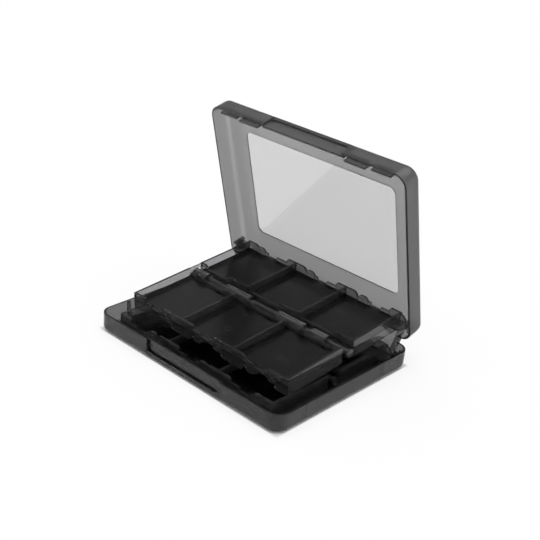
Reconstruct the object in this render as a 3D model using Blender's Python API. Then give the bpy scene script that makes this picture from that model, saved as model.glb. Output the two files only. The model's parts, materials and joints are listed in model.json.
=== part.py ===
"""Card case standing open: a base and a lid of smoky plastic, a spine between them and two two-sided card trays.

The case is drawn as if it were shut, then each piece is turned about its own joint axis to the open pose.
X runs along the long side, the front faces -Y, and the base's underside lies on Z = 0.
"""

import math

import bmesh
import bpy
from mathutils import Matrix, Vector

MM = 0.001

# Case
CASE_WIDTH = 135.0 * MM
CASE_DEPTH = 103.5 * MM
BASE_HEIGHT = 10.8 * MM
WALL = 1.2 * MM
SKIN = 1.1 * MM
CORNER_RADIUS = 7.3 * MM
REAR_RADIUS = 5.5 * MM
EDGE_RADIUS = 3.2 * MM
RIM_RADIUS = 0.3 * MM
PARTING_GAP = 0.3 * MM

# Trays and the clearances under, between and over them
TRAY_SIDE = 10.2 * MM
TRAY_FROM_FRONT = 7.3 * MM
TRAY_HEIGHT = 9.5 * MM
TRAY_FROM_REAR = 6.6 * MM
TRAY_FLOOR = 1.0 * MM
TRAY_WALL = 1.3 * MM
MIDDLE_GAP = 8.6 * MM
BASE_TRAY_GAP = 0.35 * MM
TRAY_TRAY_GAP = 0.35 * MM
LID_TRAY_GAP = 0.4 * MM
POCKETS = 3

# Spine and its two living hinges, each drawn as a fine gap between two rounded edges
HINGE_INSET = 1.6 * MM
HINGE_RISE = 2.0 * MM
HINGE_GAP = 0.4 * MM
SPINE_THICKNESS = 1.2 * MM
SPINE_SIDE = 9.5 * MM
SPINE_END_GAP = 0.4 * MM
BAND_WIDTH = 3.0 * MM
BAND_THICKNESS = 1.0 * MM
BAND_FROM_HINGE = 2.4 * MM

# Open pose, in degrees
SPINE_TILT = 29.0
LID_OPENING = 75.4
TRAY_TILT = 4.3

# Thumb recess in both front walls
RECESS_WIDTH = 54.0 * MM
RECESS_DEPTH = 1.5 * MM
RECESS_SILL = 3.9 * MM
RECESS_SETBACK = 0.4 * MM
RECESS_RADIUS = 3.0 * MM
PAD_INSET = 1.0 * MM
PAD_DROP = 0.2 * MM

# Lid's window, catches and locating lips
WINDOW_WIDTH = 104.4 * MM
WINDOW_DEPTH = 67.4 * MM
WINDOW_FROM_REAR = 19.0 * MM
WINDOW_RADIUS = 4.0 * MM
WINDOW_SINK = 0.25 * MM
CATCH_WIDTH = 13.4 * MM
CATCH_CENTRE = 36.8 * MM
CATCH_RISE = 2.0 * MM
LIP_WIDTH = 12.0 * MM
LIP_CENTRE = 52.6 * MM
LIP_RISE = 0.9 * MM
HOOK_GAP = 0.7 * MM
HOOK_THICKNESS = 1.1 * MM
HOOK_ROOT = 3.0 * MM
HOOK_DROP = 0.6 * MM

# Ribs on the base's side walls
RIB_SHARES = (-0.609, 0.547)
RIB_WIDTH = 2.0 * MM
RIB_DEPTH = 0.9 * MM
RIB_DROP = 0.4 * MM

# Tray pivots: an ear at each rear corner, with a pin in a ribbed boss on the shell's wall
PIN_FROM_REAR = 0.9 * MM
PIN_RADIUS = 1.0 * MM
PIN_PLAY = 0.3 * MM
PIN_LENGTH = 1.5 * MM
PIN_END_GAP = 0.3 * MM
BOSS_RADIUS = 2.2 * MM
BOSS_RIB = 1.0 * MM
BOSS_RIB_REACH = 2.6 * MM
BOSS_RIB_RISE = 3.6 * MM
BOSS_RIB_FOOT = 2.3 * MM
EAR_REACH = 6.3 * MM
EAR_LENGTH = 10.0 * MM
EAR_PLATE = 1.3 * MM
EAR_CORNER = 3.0 * MM
EAR_GAP = 0.35 * MM
EAR_SETBACK = 0.2 * MM
CHEEK_THICKNESS = 1.3 * MM
CHEEK_RADIUS = 3.2 * MM
GUSSET_REACH = 3.2 * MM
GUSSET_HEIGHT = 4.0 * MM
GUSSET_THICKNESS = 1.2 * MM

# Pocket ends: stubs of wall round each divider, half-round tabs, and a slot at each tab's foot
STUB_LEFT = 7.2 * MM
STUB_RIGHT = 8.4 * MM
STUB_THICKNESS = 1.3 * MM
STUB_CORNER = 1.3 * MM
REAR_STUB_CORNER = 3.6 * MM
HINGE_STUB = 5.2 * MM
TAB_WIDTH = 7.4 * MM
TAB_RISE = 4.4 * MM
TAB_CORNER = 2.9 * MM
TAB_SHIFT = 7.5 * MM
TAB_PITCH_SHARE = 1.03
TAB_INSET = 0.5 * MM
TAB_THICKNESS = 1.1 * MM
SLOT_WIDTH = 4.4 * MM
SLOT_LENGTH = 1.1 * MM
SLOT_GAP = 0.4 * MM
SILL_HEIGHT = 1.8 * MM
SILL_THICKNESS = 0.9 * MM
SILL_SETBACK = 0.2 * MM
NOTCH_WIDTH = 6.9 * MM
NOTCH_SHIFT = 1.25 * MM
NOTCH_FOOT = 0.2 * MM

# Middle hinge of a tray: a rod on the rear half, snapped into hoods on the front half
ROD_RADIUS = 1.7 * MM
ROD_PLAY = 0.45 * MM
ROD_CAP_RADIUS = 2.4 * MM
ROD_CAP_LENGTH = 1.2 * MM
ROD_CAP_GAP = 0.4 * MM
HOOD_BORE = 2.05 * MM
HOOD_RADIUS = 3.2 * MM
HOOD_END_PLAY = 0.5 * MM
HOOD_MOUTH_SHARE = 0.83
NOSE_GAP = 2.3 * MM
RAIL_THICKNESS = 0.8 * MM
RAIL_SETBACK = 0.15 * MM
RAIL_GAP = 0.4 * MM
HOOD_SHARES = ((-1.0, -0.8), (-0.534, -0.206), (0.159, 0.483), (0.581, 0.759))

# Look of the smoky plastic
BASE_SHADE = 0.02
SPINE_SHADE = 0.03
LID_SHADE = 0.05
TRAY_SHADE = 0.012
ROUGHNESS = 0.3

# Fineness, and how far joined and cut shapes pass each other
QUARTER_STEPS = 5
ROUND_STEPS = 20
BEAD_STEPS = 16
TONGUE_STEPS = 3
HOOD_STEPS = 14
OVERLAP = 0.5 * MM
SHALLOW = 0.1 * MM
CUT_MARGIN = 2.0 * MM
SAME = 0.001 * MM

CASE_HEIGHT = 2 * SKIN + 2 * TRAY_HEIGHT + BASE_TRAY_GAP + TRAY_TRAY_GAP + LID_TRAY_GAP
LID_HEIGHT = CASE_HEIGHT - BASE_HEIGHT - PARTING_GAP
HALF_WIDTH = CASE_WIDTH / 2
HALF_DEPTH = CASE_DEPTH / 2
TRAY_WIDTH = CASE_WIDTH - 2 * TRAY_SIDE
TRAY_LENGTH = CASE_DEPTH - TRAY_FROM_REAR - TRAY_FROM_FRONT
HALF_LENGTH = (TRAY_LENGTH - MIDDLE_GAP) / 2
SPINE_WIDTH = CASE_WIDTH - 2 * SPINE_SIDE
TRAY_HALF = TRAY_WIDTH / 2
HOODS = [(TRAY_HALF * left, TRAY_HALF * right) for left, right in HOOD_SHARES]
MID = TRAY_HEIGHT / 2
ROD_PLACE = TRAY_LENGTH / 2
FIRST_DIVIDER = (TRAY_WALL - TRAY_WIDTH) / 2
PITCH = (TRAY_WIDTH - TRAY_WALL) / POCKETS
DIVIDERS = [FIRST_DIVIDER + PITCH * n for n in range(POCKETS + 1)]
EAR_FACE = TRAY_HALF + EAR_REACH
BEAD = SPINE_THICKNESS / 2
BEAD_DROP = HINGE_GAP / 2 + BEAD
MOUTH = SPINE_WIDTH / 2 + SPINE_END_GAP
REAR_STEP = (MOUTH + HALF_WIDTH - CORNER_RADIUS) / 2
BEAD_END = (MOUTH + REAR_STEP) / 2

# Joint axes of the shut case, as Y and Z
HINGE_Y = HALF_DEPTH - HINGE_INSET
BASE_AXIS = (HINGE_Y, HINGE_RISE)
LID_AXIS = (HINGE_Y, CASE_HEIGHT - HINGE_RISE)
PIN_Y = HALF_DEPTH - TRAY_FROM_REAR - PIN_FROM_REAR
LOWER_PIN = (PIN_Y, SKIN + BASE_TRAY_GAP + MID)
UPPER_PIN = (PIN_Y, CASE_HEIGHT - SKIN - LID_TRAY_GAP - MID)


def new_collection(name, parent):
    made = bpy.data.collections.new(name)
    parent.children.link(made)
    return made


def plastic(node, shade):
    made = bpy.data.materials.new(node + "_plastic")
    made.use_nodes = True
    shader = made.node_tree.nodes["Principled BSDF"]
    shader.inputs["Base Color"].default_value = (shade, shade, shade, 1)
    shader.inputs["Roughness"].default_value = ROUGHNESS
    return made


def to_object(name, shape, collection):
    bmesh.ops.recalc_face_normals(shape, faces=shape.faces)
    mesh = bpy.data.meshes.new(name)
    shape.to_mesh(mesh)
    shape.free()
    made = bpy.data.objects.new(name, mesh)
    collection.objects.link(made)
    return made


def box(low, high):
    """A block between two corners."""
    shape = bmesh.new()
    bmesh.ops.create_cube(shape, size=1)
    size = [abs(b - a) for a, b in zip(low, high)]
    middle = [(a + b) / 2 for a, b in zip(low, high)]
    bmesh.ops.transform(shape, matrix=Matrix.LocRotScale(middle, None, size), verts=shape.verts)
    return shape


def prism(outline, place, travel):
    """An outline's points, put in space by place() and swept along travel."""
    shape = bmesh.new()
    face = shape.faces.new([shape.verts.new(place(*point)) for point in outline])
    swept = bmesh.ops.extrude_face_region(shape, geom=[face])["geom"]
    moved = [item for item in swept if isinstance(item, bmesh.types.BMVert)]
    bmesh.ops.translate(shape, vec=travel, verts=moved)
    return shape


def arc(centre, radius, start, end, steps):
    """Points of an arc, both ends counted, its ends in quarter turns. A pair of radii makes it elliptical."""
    across, up = radius if isinstance(radius, tuple) else (radius, radius)
    turns = [(start + (end - start) * n / steps) * math.pi / 2 for n in range(steps + 1)]
    return [(centre[0] + across * math.cos(t), centre[1] + up * math.sin(t)) for t in turns]


def bar(x0, x1, centre, radius, steps=ROUND_STEPS):
    """A round bar along X. centre is its Y and Z."""
    shape = bmesh.new()
    place = Matrix.Translation(((x0 + x1) / 2, *centre)) @ Matrix.Rotation(math.pi / 2, 4, "Y")
    bmesh.ops.create_cone(shape, cap_ends=True, segments=steps, radius1=radius, radius2=radius,
                          depth=abs(x1 - x0), matrix=place)
    return shape


def rounded_ring(width, depth, radius, inset=0.0, middle=0.0):
    """Points round a rectangle with rounded corners, moved in by inset. middle is its centre's Y."""
    tight = max(radius - inset, OVERLAP)
    reach_x = width / 2 - inset - tight
    reach_y = depth / 2 - inset - tight
    ring = []
    for n, (sx, sy) in enumerate(((1, 1), (-1, 1), (-1, -1), (1, -1))):
        ring += arc((sx * reach_x, middle + sy * reach_y), tight, n, n + 1, QUARTER_STEPS)
    return ring


def loft(rings):
    """A closed body through rings of equal count. Each is its points and its height."""
    shape = bmesh.new()
    loops = []
    for points, z in rings:
        verts = [shape.verts.new((x, y, z)) for x, y in points]
        loops.append([shape.edges.new(pair) for pair in zip(verts, verts[1:] + verts[:1])])
    for lower, upper in zip(loops, loops[1:]):
        bmesh.ops.bridge_loops(shape, edges=lower + upper)
    for end in (loops[0], loops[-1]):
        bmesh.ops.contextual_create(shape, geom=end)
    return shape


def case_ring(side, rear, middle):
    """Points round the case, moved in by side, by rear at the rear corners and by middle between them."""
    across, back = HALF_WIDTH - CORNER_RADIUS, HALF_DEPTH - CORNER_RADIUS
    tight = CORNER_RADIUS - side
    ends = (tight, CORNER_RADIUS - rear)
    ring = arc((across, back), ends, 0, 1, QUARTER_STEPS)
    ring += [(x, HALF_DEPTH - inset) for x, inset in
             ((REAR_STEP, rear), (REAR_STEP, middle), (-REAR_STEP, middle), (-REAR_STEP, rear))]
    ring += arc((-across, back), ends, 1, 2, QUARTER_STEPS)
    ring += arc((-across, -back), tight, 2, 3, QUARTER_STEPS)
    return ring + arc((across, -back), tight, 3, 4, QUARTER_STEPS)


def fillet_inset(rise, radius):
    """How far a fillet stands back at a height above its foot."""
    return radius - math.sqrt(radius ** 2 - max(radius - rise, 0) ** 2)


def dish(floor, top, inset=0.0, rim=0.0, stepped=False):
    """A block of the case's outline, filleted round its foot, more so at the rear corners. rim breaks its upper edge."""
    edge, rear = EDGE_RADIUS - inset, REAR_RADIUS - inset
    turns = [math.pi / 2 * n / QUARTER_STEPS for n in range(QUARTER_STEPS + 1)]
    rises = [edge * (1 - math.cos(turn)) for turn in turns]
    rises += [rise for rise in [rear * (1 - math.cos(turn)) for turn in turns] if rise > edge + SAME]
    rings = [(inset + fillet_inset(rise, edge), inset + fillet_inset(rise, rear), floor + rise) for rise in rises]
    if rim:
        share = 1 - math.sqrt(0.5)
        rings += [(inset, inset, top - rim), (inset + rim * share, inset + rim * share, top - rim * share)]
    rings.append((inset + rim, inset + rim, top))
    shape = loft([(case_ring(side, back, side if stepped else back), z) for side, back, z in rings])
    bmesh.ops.remove_doubles(shape, verts=shape.verts, dist=SAME)
    return shape


def turned(point, about, angle):
    """Where a Y and Z point goes when it turns about an axis along X."""
    offset = Matrix.Rotation(math.radians(angle), 2) @ (Vector(point) - Vector(about))
    return tuple(Vector(about) + offset)


class Piece:
    """One node: a body and the shapes added to and cut from it in order. origin is its axis's Y and Z."""

    def __init__(self, name, body, origin=(0, 0), before=Matrix()):
        self.place = Matrix.Translation((0, -origin[0], -origin[1])) @ before
        self.node = self.settled(name, body, parts)
        self.stages = []

    def settled(self, name, shape, collection):
        made = to_object(name, shape, collection)
        made.data.transform(self.place)
        return made

    def apply(self, way, shape):
        if not self.stages or self.stages[-1][0] != way:
            name = f"{self.node.name}_stage_{len(self.stages)}"
            self.stages.append((way, new_collection(name, cutters)))
        operands = self.stages[-1][1]
        made = self.settled(f"{operands.name}_{len(operands.objects):02d}", shape, operands)
        made.hide_render = True
        made.display_type = "WIRE"
        made.parent = self.node

    def add(self, shape):
        self.apply("UNION", shape)

    def cut(self, shape):
        self.apply("DIFFERENCE", shape)

    def add_both(self, shape):
        """Adds a shape and its copy turned half round Y, for a tray's two faces."""
        self.add(half_turned(shape))
        self.add(shape)

    def cut_both(self, shape):
        self.cut(half_turned(shape))
        self.cut(shape)

    def finish(self, shade, at, turn=0.0):
        for way, operands in self.stages:
            made = self.node.modifiers.new(operands.name, "BOOLEAN")
            made.operand_type = "COLLECTION"
            made.collection = operands
            made.operation = way
            made.solver = "EXACT"
        self.node.data.materials.append(plastic(self.node.name, shade))
        self.node.location = (0, *at)
        self.node.rotation_euler = (math.radians(turn), 0, 0)


def half_turned(shape):
    copy = shape.copy()
    bmesh.ops.rotate(copy, cent=(0, 0, 0), matrix=Matrix.Rotation(math.pi, 3, "Y"), verts=copy.verts)
    return copy


def recess_outline(height):
    """The thumb recess from the front: open at the top, with rounded lower corners."""
    half = RECESS_WIDTH / 2
    top = height + CUT_MARGIN
    low = RECESS_SILL + RECESS_RADIUS
    left = arc((RECESS_RADIUS - half, low), RECESS_RADIUS, 2, 3, QUARTER_STEPS)
    right = arc((half - RECESS_RADIUS, low), RECESS_RADIUS, 3, 4, QUARTER_STEPS)
    return [(-half, top), *left, *right, (half, top)]


def shell(name, height, origin, pin_rise, before=Matrix()):
    """A shallow shell drawn with its outer face down. Only the corners of its rear wall are full height."""
    piece = Piece(name, dish(0, height, rim=RIM_RADIUS, stepped=True), origin, before)
    piece.cut(dish(SKIN, height + CUT_MARGIN, inset=WALL))
    front = -HALF_DEPTH
    half_pad = RECESS_WIDTH / 2 + WALL
    pad_back = front + RECESS_DEPTH + WALL
    piece.add(box((-half_pad, front + PAD_INSET, SKIN - SHALLOW), (half_pad, pad_back, height - PAD_DROP)))
    pivots(piece, (PIN_Y, pin_rise))
    piece.cut(prism(recess_outline(height), lambda x, z: (x, front + RECESS_DEPTH, z), (0, -CUT_MARGIN * 2, 0)))
    half = RECESS_WIDTH / 2
    piece.cut(box((-half, -CASE_DEPTH, -CUT_MARGIN), (half, front + RECESS_SETBACK, height + CUT_MARGIN * 2)))
    bead_rise = HINGE_RISE - BEAD_DROP
    mouth_front = HALF_DEPTH - REAR_RADIUS - OVERLAP
    piece.cut(box((-MOUTH, mouth_front, bead_rise), (MOUTH, CASE_DEPTH, height + CUT_MARGIN)))
    face = EAR_FACE + EAR_GAP
    for side in (-1, 1):
        bore_end = EAR_FACE + PIN_LENGTH + PIN_END_GAP
        piece.cut(bar(side * (face - OVERLAP), side * bore_end, (PIN_Y, pin_rise), PIN_RADIUS + PIN_PLAY))
    piece.add(bar(-BEAD_END, BEAD_END, (HINGE_Y, bead_rise), BEAD, BEAD_STEPS))
    return piece


def pivots(piece, pin):
    """A boss with two upright ribs inside each side wall, for a tray's pin."""
    face = EAR_FACE + EAR_GAP
    root = HALF_WIDTH - WALL + OVERLAP / 2
    rib = BOSS_RIB_REACH - BOSS_RIB
    for side in (-1, 1):
        piece.add(bar(side * face, side * root, pin, BOSS_RADIUS))
        for way in (-1, 1):
            near = (side * face, pin[0] + way * rib, BOSS_RIB_FOOT)
            far = (side * root, pin[0] + way * BOSS_RIB_REACH, pin[1] + BOSS_RIB_RISE)
            piece.add(box(near, far))


def hooks(piece, centre, width, rise):
    """A pair of tongues that stand over the lid's front rim, a little behind the wall."""
    wall = WALL - HALF_DEPTH
    front = wall + HOOK_GAP
    back = front + HOOK_THICKNESS
    root = LID_HEIGHT - HOOK_ROOT
    step = LID_HEIGHT - HOOK_DROP
    tip = LID_HEIGHT + rise
    outline = [(wall - OVERLAP, root), (back, root), (back, tip), (front, tip), (front, step), (wall - OVERLAP, step)]
    for side in (-1, 1):
        start = side * centre - width / 2
        piece.add(prism(outline, lambda y, z: (start, y, z), (width, 0, 0)))


def build_base():
    base = shell("base_shell", BASE_HEIGHT, (0, 0), LOWER_PIN[1])
    inner = HALF_WIDTH - WALL
    for y in [HALF_DEPTH * share for share in RIB_SHARES]:
        for side in (-1, 1):
            near = (side * (inner - RIB_DEPTH), y - RIB_WIDTH / 2, SKIN - SHALLOW)
            far = (side * (inner + SHALLOW), y + RIB_WIDTH / 2, BASE_HEIGHT - RIB_DROP)
            base.add(box(near, far))
    base.finish(BASE_SHADE, (0, 0))


def build_spine():
    low = (HINGE_Y, HINGE_RISE + BEAD_DROP)
    high = (HINGE_Y, CASE_HEIGHT - HINGE_RISE - BEAD_DROP)
    half_round = BEAD_STEPS // 2
    outline = arc(low, BEAD, 2, 4, half_round) + arc(high, BEAD, 0, 2, half_round)
    half = SPINE_WIDTH / 2
    spine = Piece("spine_panel", prism(outline, lambda y, z: (-half, y, z), (SPINE_WIDTH, 0, 0)), BASE_AXIS)
    back = HINGE_Y + BEAD - OVERLAP
    for side in (-1, 1):
        near = (side * half - side * BAND_WIDTH, HINGE_Y - BEAD - BAND_THICKNESS, HINGE_RISE + BAND_FROM_HINGE)
        far = (side * half, back, LID_AXIS[1] - BAND_FROM_HINGE)
        spine.add(box(near, far))
    spine.finish(SPINE_SHADE, BASE_AXIS, -SPINE_TILT)


def build_lid(axis):
    over = Matrix.Translation((0, 0, CASE_HEIGHT)) @ Matrix.Rotation(math.pi, 4, "Y")
    lid = shell("lid_shell", LID_HEIGHT, LID_AXIS, CASE_HEIGHT - UPPER_PIN[1], over)
    hooks(lid, CATCH_CENTRE, CATCH_WIDTH, CATCH_RISE)
    hooks(lid, LIP_CENTRE, LIP_WIDTH, LIP_RISE)
    middle = HALF_DEPTH - WINDOW_FROM_REAR - WINDOW_DEPTH / 2
    ring = rounded_ring(WINDOW_WIDTH, WINDOW_DEPTH, WINDOW_RADIUS, middle=middle)
    lid.cut(loft([(ring, -CUT_MARGIN), (ring, WINDOW_SINK)]))
    lid.finish(LID_SHADE, axis, -LID_OPENING)


def slab(x0, x1, v0, v1, z0, z1):
    """A block of a tray. v runs forward from the tray's rear edge, and the pin's axis is the origin."""
    return box((x0, PIN_FROM_REAR - v1, z0), (x1, PIN_FROM_REAR - v0, z1))


def tongue(x0, x1, rise, corners, edge, depth):
    """An upright tongue of a tray, from inside its floor to rise. corners are its upper corners' radii, or 0."""
    foot = -TRAY_FLOOR / 4
    near, far = corners
    left = arc((x0 + near, rise - near), near, 1, 2, TONGUE_STEPS) if near else [(x0, rise)]
    right = arc((x1 - far, rise - far), far, 0, 1, TONGUE_STEPS) if far else [(x1, rise)]
    outline = [(x0, foot), (x1, foot), *right, *left]
    return prism(outline, lambda x, z: (x, PIN_FROM_REAR - edge, z), (0, -depth, 0))


def pocket_edge(piece, edge, way, left, right):
    """One end of a row of pockets. way is 1 at a rear edge and -1 at a front one."""
    end = TRAY_HALF
    for x in DIVIDERS if left else ():
        x0, x1 = max(x - left, -end), min(x + max(right, TRAY_WALL / 2), end)
        if not right and x == DIVIDERS[0]:
            x1 = x0 + HINGE_STUB
        far = REAR_STUB_CORNER if way > 0 else STUB_CORNER
        corners = (STUB_CORNER if x0 > -end else 0, far if end > x1 > x + TRAY_WALL else 0)
        piece.add_both(tongue(x0, x1, MID, corners, edge, way * STUB_THICKNESS))
    sill = TRAY_FLOOR / 2 + SILL_HEIGHT
    low, high = sorted((edge + way * SILL_SETBACK, edge + way * (SILL_SETBACK + SILL_THICKNESS)))
    piece.add(slab(-end + OVERLAP, end - OVERLAP, low, high, -sill, sill))
    tab = edge + way * TAB_INSET
    slot = tab + way * (TAB_THICKNESS + SLOT_GAP)
    step = PITCH * TAB_PITCH_SHARE
    spots = [(n - (POCKETS - 1) / 2) * step - way * TAB_SHIFT for n in range(POCKETS)]
    half = TAB_WIDTH / 2
    for x in spots:
        piece.add_both(tongue(x - half, x + half, TAB_RISE, (TAB_CORNER, TAB_CORNER), tab, way * TAB_THICKNESS))
    slots = [(x - SLOT_WIDTH / 2, x + SLOT_WIDTH / 2, *sorted((slot, slot + way * SLOT_LENGTH)),
              -TRAY_FLOOR, TRAY_FLOOR) for x in spots]
    notches = [spot + way * (TAB_SHIFT + NOTCH_SHIFT) for spot in spots] if right else ()
    return slots + [(x - NOTCH_WIDTH / 2, x + NOTCH_WIDTH / 2, low - OVERLAP, high + OVERLAP,
                     TRAY_FLOOR / 2 + NOTCH_FOOT, sill + OVERLAP) for x in notches]


def rear_half(name, pin, turn):
    floor = TRAY_FLOOR / 2
    inner = TRAY_HALF - OVERLAP
    half = Piece(name, slab(-inner, inner, OVERLAP, HALF_LENGTH - OVERLAP, -floor, floor))
    for x in DIVIDERS:
        half.add(slab(x - TRAY_WALL / 2, x + TRAY_WALL / 2, OVERLAP, HALF_LENGTH - OVERLAP, -MID, MID))
    cuts = pocket_edge(half, 0, 1, STUB_LEFT, STUB_RIGHT)
    cuts += pocket_edge(half, HALF_LENGTH, -1, STUB_LEFT, 0)
    ears(half)
    rod = (PIN_FROM_REAR - ROD_PLACE, 0)
    cap = TRAY_HALF + ROD_CAP_GAP
    half.add(bar(-TRAY_HALF, cap + ROD_CAP_LENGTH / 2, rod, ROD_RADIUS))
    half.add(bar(cap, cap + ROD_CAP_LENGTH, rod, ROD_CAP_RADIUS))
    starts = [hood[1] + HOOD_END_PLAY for hood in HOODS]
    ends = [hood[0] - HOOD_END_PLAY for hood in HOODS[1:]] + [TRAY_HALF]
    for x0, x1 in zip(starts, ends):
        half.add(slab(x0, x1, HALF_LENGTH - OVERLAP * 2, ROD_PLACE, -floor, floor))
    for cut in cuts:
        half.cut_both(slab(*cut))
    half.finish(TRAY_SHADE, pin, turn)


def ears(piece):
    """The plates, gussets, cheeks and pins at both rear corners."""
    rear = PIN_FROM_REAR
    front = rear - EAR_LENGTH
    inner = TRAY_HALF - OVERLAP
    turn_x = EAR_FACE - EAR_CORNER - EAR_SETBACK
    rounded = arc((turn_x, rear - EAR_CORNER), EAR_CORNER, 1, 0, QUARTER_STEPS)
    rounded += arc((turn_x, front + EAR_CORNER), EAR_CORNER, 0, -1, QUARTER_STEPS)
    plate = [(inner, rear), *rounded, (inner, front)]
    arch = arc((inner, 0), (GUSSET_REACH + OVERLAP, GUSSET_HEIGHT), 0, 1, QUARTER_STEPS)
    gusset = [(inner, 0), *arch]
    for side in (-1, 1):
        piece.add(prism(plate, lambda x, y: (side * x, y, -EAR_PLATE / 2), (0, 0, EAR_PLATE)))
        piece.add_both(prism(gusset, lambda x, z: (side * x, rear - EAR_SETBACK, z), (0, -GUSSET_THICKNESS, 0)))
        piece.add(bar(side * (EAR_FACE - CHEEK_THICKNESS), side * EAR_FACE, (0, 0), CHEEK_RADIUS))
        piece.add(bar(side * (EAR_FACE - OVERLAP), side * (EAR_FACE + PIN_LENGTH), (0, 0), PIN_RADIUS))


def front_half(name, pin, turn):
    floor = TRAY_FLOOR / 2
    start = ROD_PLACE + ROD_RADIUS + ROD_PLAY
    walls = TRAY_LENGTH - HALF_LENGTH
    inner = TRAY_HALF - OVERLAP
    half = Piece(name, slab(-inner, inner, start, TRAY_LENGTH - OVERLAP, -floor, floor))
    nose = ROD_PLACE + NOSE_GAP + MID
    for x in DIVIDERS:
        inside = x not in (DIVIDERS[0], DIVIDERS[-1])
        first = nose if inside else walls
        half.add(slab(x - TRAY_WALL / 2, x + TRAY_WALL / 2, first, TRAY_LENGTH - OVERLAP, -MID, MID))
        if inside:
            half.add(bar(x - TRAY_WALL / 2, x + TRAY_WALL / 2, (PIN_FROM_REAR - nose, 0), MID))
    rail = RAIL_SETBACK - TRAY_HALF
    spread = (HALF_LENGTH + RAIL_GAP, walls + OVERLAP, HOOD_BORE + RAIL_GAP, MID - RAIL_SETBACK)
    half.add(slab(rail, rail + RAIL_THICKNESS, *spread))
    half.add(slab(rail, rail + RAIL_THICKNESS, *spread[:2], -spread[3], -spread[2]))
    cuts = pocket_edge(half, walls, 1, 0, 0)
    cuts += pocket_edge(half, TRAY_LENGTH, -1, STUB_LEFT, STUB_RIGHT)
    centre = (PIN_FROM_REAR - ROD_PLACE, 0)
    lips = (HOOD_MOUTH_SHARE / 2, 4 - HOOD_MOUTH_SHARE / 2)
    outline = arc(centre, HOOD_RADIUS, *lips, HOOD_STEPS) + arc(centre, HOOD_BORE, *lips[::-1], HOOD_STEPS)
    for x0, x1 in HOODS:
        half.add(prism(outline, lambda y, z: (x0, y, z), (x1 - x0, 0, 0)))
    for cut in cuts:
        half.cut_both(slab(*cut))
    half.finish(TRAY_SHADE, pin, turn)


for item in list(bpy.data.objects):
    bpy.data.objects.remove(item)
parts = new_collection("card_case", bpy.context.scene.collection)
cutters = new_collection("cutters", bpy.context.scene.collection)

lid_axis_open = turned(LID_AXIS, BASE_AXIS, -SPINE_TILT)
pin_from_lid = turned(UPPER_PIN, LID_AXIS, -LID_OPENING)
upper_pin_open = tuple(pin + moved - shut for pin, moved, shut in zip(pin_from_lid, lid_axis_open, LID_AXIS))

build_base()
build_spine()
build_lid(lid_axis_open)
for tray_name, tray_pin, tray_turn in (("lower", LOWER_PIN, 0), ("upper", upper_pin_open, TRAY_TILT)):
    rear_half(f"{tray_name}_tray_rear", tray_pin, tray_turn)
    front_half(f"{tray_name}_tray_front", tray_pin, tray_turn)
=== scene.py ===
"""A card case of smoky see-through plastic, standing open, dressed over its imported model."""

import json
import math

import bmesh
import bpy
from mathutils import Matrix, Vector

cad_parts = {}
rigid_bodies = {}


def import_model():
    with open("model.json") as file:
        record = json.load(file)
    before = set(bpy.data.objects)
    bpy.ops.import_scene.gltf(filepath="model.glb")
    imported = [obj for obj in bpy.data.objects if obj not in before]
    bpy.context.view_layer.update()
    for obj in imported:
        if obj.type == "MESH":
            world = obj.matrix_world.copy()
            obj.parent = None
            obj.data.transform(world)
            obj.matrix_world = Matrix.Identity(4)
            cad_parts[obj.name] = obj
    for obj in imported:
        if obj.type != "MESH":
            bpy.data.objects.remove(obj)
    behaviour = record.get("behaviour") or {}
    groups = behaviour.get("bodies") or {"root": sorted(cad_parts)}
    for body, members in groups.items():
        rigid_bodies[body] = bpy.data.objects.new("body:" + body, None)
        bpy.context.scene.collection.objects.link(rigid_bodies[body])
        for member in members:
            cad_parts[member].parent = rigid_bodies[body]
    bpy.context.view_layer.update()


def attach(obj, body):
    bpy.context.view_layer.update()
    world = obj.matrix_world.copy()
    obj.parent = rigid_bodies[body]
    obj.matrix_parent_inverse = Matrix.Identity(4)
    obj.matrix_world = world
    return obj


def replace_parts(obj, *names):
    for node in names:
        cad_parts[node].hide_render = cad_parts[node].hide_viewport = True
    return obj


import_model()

MM = 0.001

# Case
CASE_WIDTH = 135.0 * MM
CASE_DEPTH = 103.5 * MM
BASE_HEIGHT = 10.8 * MM
WALL = 1.2 * MM
SKIN = 1.1 * MM
CORNER_RADIUS = 7.3 * MM
REAR_RADIUS = 5.5 * MM
EDGE_RADIUS = 3.2 * MM
RIM_RADIUS = 0.3 * MM
PARTING_GAP = 0.3 * MM

# Trays and the clearances under, between and over them
TRAY_SIDE = 10.2 * MM
TRAY_FROM_FRONT = 7.3 * MM
TRAY_HEIGHT = 9.5 * MM
TRAY_FROM_REAR = 6.6 * MM
TRAY_FLOOR = 1.0 * MM
TRAY_WALL = 1.3 * MM
MIDDLE_GAP = 8.6 * MM
BASE_TRAY_GAP = 0.35 * MM
TRAY_TRAY_GAP = 0.35 * MM
LID_TRAY_GAP = 0.4 * MM
POCKETS = 3

# Spine and its living hinges
HINGE_INSET = 1.6 * MM
HINGE_RISE = 2.0 * MM
HINGE_GAP = 0.4 * MM
SPINE_THICKNESS = 1.2 * MM
SPINE_SIDE = 9.5 * MM
SPINE_END_GAP = 0.4 * MM
BAND_WIDTH = 3.0 * MM
BAND_THICKNESS = 1.0 * MM
BAND_FROM_HINGE = 2.4 * MM

# Open pose, in degrees
SPINE_TILT = 29.0
LID_OPENING = 75.4
TRAY_TILT = 4.3

# Thumb recess in both front walls
RECESS_WIDTH = 54.0 * MM
RECESS_DEPTH = 1.5 * MM
RECESS_SILL = 3.9 * MM
RECESS_SETBACK = 0.4 * MM
RECESS_RADIUS = 3.0 * MM
PAD_INSET = 1.0 * MM
PAD_DROP = 0.2 * MM

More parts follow.
